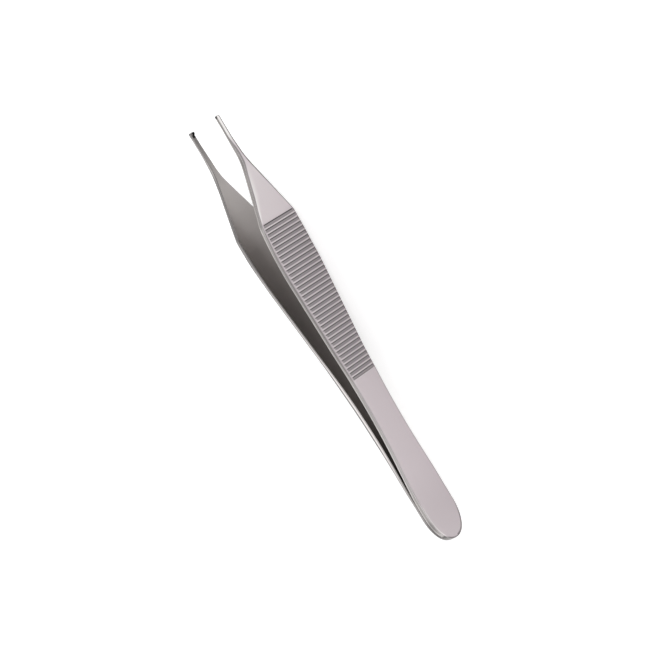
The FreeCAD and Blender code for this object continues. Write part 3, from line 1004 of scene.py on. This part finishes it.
    def piece(self, name):
        """The arm as an object, at its place in the frame."""
        side = self.shape.kind.side
        placed = [
            (x * MM, side * y * MM, (MIDDLE_Z + side * z) * MM) for x, y, z in self.points
        ]
        mesh = bpy.data.meshes.new(name)
        mesh.from_pydata(placed, [], self.faces)
        mesh.validate()
        work = bmesh.new()
        work.from_mesh(mesh)
        bmesh.ops.recalc_face_normals(work, faces=work.faces)
        work.to_mesh(mesh)
        work.free()
        for key, values in (("trough", self.trough), ("shade", self.shade)):
            attribute = mesh.attributes.new(key, "FLOAT", "POINT")
            attribute.data.foreach_set("value", np.array(values, np.float32))
        mesh.polygons.foreach_set("use_smooth", [True] * len(mesh.polygons))
        mesh.polygons.foreach_set("material_index", self.zones)
        mesh.update()
        piece = bpy.data.objects.new(name, mesh)
        bpy.context.scene.collection.objects.link(piece)
        return piece


class FORCEPS_OT_arms(bpy.types.Operator):
    """Make both arms and put them in place of the plain ones"""

    bl_idname = "forceps.arms"
    bl_label = "Make arms"

    def execute(self, context):
        scene = context.scene
        finish = scene.forceps_finish
        materials = [fluted_face(finish), ground_edge(finish), satin_face(finish)]
        for name, kind in (("front_arm", FRONT), ("rear_arm", REAR)):
            piece = ArmMesh(ArmShape(scene, kind)).piece(name + "_steel")
            for material in materials:
                piece.data.materials.append(material)
            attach(piece, "root")
            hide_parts(name)
        return {"FINISHED"}


# The panels round the object: an angle in degrees from the front horizon over the top to the
# back horizon, and how bright the room is there. Polished rims show them as lines.
PANELS = (
    (0, 0.9),
    (20, 1.3),
    (40, 1.5),
    (54, 0.8),
    (64, 0.55),
    (105, 0.55),
    (120, 0.65),
    (134, 0.8),
    (143, 1.5),
    (150, 2.3),
    (160, 2.2),
    (170, 1.1),
    (178, 0.9),
)
# The same room from left to right, in front and behind: how far a direction leans, from -1
# to 1, and how bright the panels are there.
FRONT_WINGS = (
    (-1.0, 1.4),
    (-0.6, 1.2),
    (-0.35, 0.55),
    (-0.15, 0.8),
    (-0.05, 0.97),
    (0.0, 1.0),
    (0.15, 1.0),
    (0.35, 0.9),
    (0.55, 1.8),
    (0.8, 2.8),
    (1.0, 2.8),
)
BACK_WINGS = ((-1.0, 0.45), (-0.35, 0.5), (-0.15, 1.0), (0.15, 1.0), (0.35, 0.48), (1.0, 0.45))
# A ramp holds nothing brighter than 1, so both are kept as shares of this.
BRIGHTEST = 5.0
# How far back a direction leans where the wings in front give way to those behind.
WINGS_BLEND = (0.35, 0.6)


def studio_room(stage):
    """White panels in front of, over and behind the object, with dimmer gaps between them."""
    world = bpy.data.worlds.new("studio_room")
    world.use_nodes = True
    tree = world.node_tree
    tree.nodes.clear()
    direction = add_node(tree, "ShaderNodeTexCoord").outputs["Generated"]
    parts = add_node(tree, "ShaderNodeSeparateXYZ", {"Vector": direction}).outputs
    front = add_node(tree, "ShaderNodeMath", {0: parts["Y"], 1: -1.0}, operation="MULTIPLY")
    turn = add_node(
        tree, "ShaderNodeMath", {0: parts["Z"], 1: front.outputs[0]}, operation="ARCTAN2"
    )
    share = add_node(tree, "ShaderNodeMath", {0: turn.outputs[0], 1: math.pi}, operation="DIVIDE")
    lean = add_node(
        tree, "ShaderNodeMapRange", {"Value": parts["X"], "From Min": -1.0, "From Max": 1.0}
    )
    lights = []
    for place, table, start, span in (
        (share.outputs[0], PANELS, 0, 180),
        (lean.outputs["Result"], FRONT_WINGS, -1, 2),
        (lean.outputs["Result"], BACK_WINGS, -1, 2),
    ):
        ramp = add_node(tree, "ShaderNodeValToRGB", {"Fac": place})
        levels = [(point - start, level / BRIGHTEST) for point, level in table]
        set_levels(ramp.color_ramp, levels, span)
        lights.append(ramp.outputs["Color"])
    panels, near, far = lights
    behind = add_node(
        tree,
        "ShaderNodeMapRange",
        {"Value": parts["Y"], "From Min": WINGS_BLEND[0], "From Max": WINGS_BLEND[1]},
        interpolation_type="SMOOTHSTEP",
    )
    wings = add_node(
        tree,
        "ShaderNodeMix",
        {"Factor": behind.outputs["Result"], "A": near, "B": far},
        data_type="RGBA",
    )
    both = add_node(
        tree,
        "ShaderNodeMix",
        {"Factor": 1.0, "A": panels, "B": wings.outputs["Result"]},
        data_type="RGBA",
        blend_type="MULTIPLY",
    )
    background = add_node(
        tree,
        "ShaderNodeBackground",
        {"Color": both.outputs["Result"], "Strength": stage.room * BRIGHTEST**2},
    )
    add_node(tree, "ShaderNodeOutputWorld", {"Surface": background.outputs["Background"]})
    return world


# Half the side of the sheet of paper, in metres.
PAPER_HALF = 1.5


def paper_floor(stage):
    """A sheet of paper that runs out of sight on all sides."""
    half = PAPER_HALF
    corners = [(-half, -half, 0), (half, -half, 0), (half, half, 0), (-half, half, 0)]
    mesh = bpy.data.meshes.new("paper_floor")
    mesh.from_pydata(corners, [], [(0, 1, 2, 3)])
    mesh.materials.append(matt_paper(stage))
    return bpy.data.objects.new("paper_floor", mesh)


def studio_camera(stage):
    """A camera that looks at the target from the direction and distance of the settings."""
    camera = bpy.data.cameras.new("camera")
    camera.sensor_width = 36
    camera.lens = stage.lens
    camera.clip_start = 0.01
    camera.clip_end = 10
    back = Vector(
        (
            math.sin(stage.azimuth) * math.cos(stage.elevation),
            -math.cos(stage.azimuth) * math.cos(stage.elevation),
            math.sin(stage.elevation),
        )
    )
    level = (-back).to_track_quat("-Z", "Y")
    viewer = bpy.data.objects.new("camera", camera)
    viewer.location = Vector(stage.target) + back * stage.distance
    viewer.rotation_mode = "QUATERNION"
    viewer.rotation_quaternion = level @ Quaternion((0, 0, 1), stage.roll)
    return viewer


class FORCEPS_OT_stage(bpy.types.Operator):
    """Make the floor, the lit room and the camera"""

    bl_idname = "forceps.stage"
    bl_label = "Make stage"

    def execute(self, context):
        scene = context.scene
        stage = scene.forceps_stage
        scene.view_settings.view_transform = "Standard"
        floor = paper_floor(stage)
        scene.collection.objects.link(floor)
        floor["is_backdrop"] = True
        scene.world = studio_room(stage)
        viewer = studio_camera(stage)
        scene.collection.objects.link(viewer)
        scene.camera = viewer
        return {"FINISHED"}


class FORCEPS_PT_sidebar(bpy.types.Panel):
    """The forceps' sizes, finishes and operators"""

    bl_idname = "FORCEPS_PT_sidebar"
    bl_label = "Thumb Forceps"
    bl_space_type = "VIEW_3D"
    bl_region_type = "UI"
    bl_category = "Forceps"

    def draw(self, context):
        layout = self.layout
        for group in GROUPS:
            settings = getattr(context.scene, group)
            for name in settings.bl_rna.properties.keys():
                if name not in ("rna_type", "name"):
                    layout.prop(settings, name)
        for operator in (FORCEPS_OT_stage, FORCEPS_OT_arms):
            layout.operator(operator.bl_idname)


GROUPS = {
    "forceps_arm": ForcepsArm,
    "forceps_outline": ForcepsOutline,
    "forceps_flutes": ForcepsFlutes,
    "forceps_teeth": ForcepsTeeth,
    "forceps_finish": ForcepsFinish,
    "forceps_stage": ForcepsStage,
}
CLASSES = (*GROUPS.values(), FORCEPS_OT_stage, FORCEPS_OT_arms, FORCEPS_PT_sidebar)


def register():
    for item in CLASSES:
        bpy.utils.register_class(item)
    for name, group in GROUPS.items():
        setattr(bpy.types.Scene, name, PointerProperty(type=group))


def unregister():
    for name in GROUPS:
        delattr(bpy.types.Scene, name)
    for item in reversed(CLASSES):
        bpy.utils.unregister_class(item)


def main():
    register()
    bpy.ops.forceps.stage()
    bpy.ops.forceps.arms()
    boxes = {"cad": cad_box, "visual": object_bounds()}
    plain = {name: [list(corner) for corner in box] for name, box in boxes.items()}


if __name__ == "__main__":
    main()
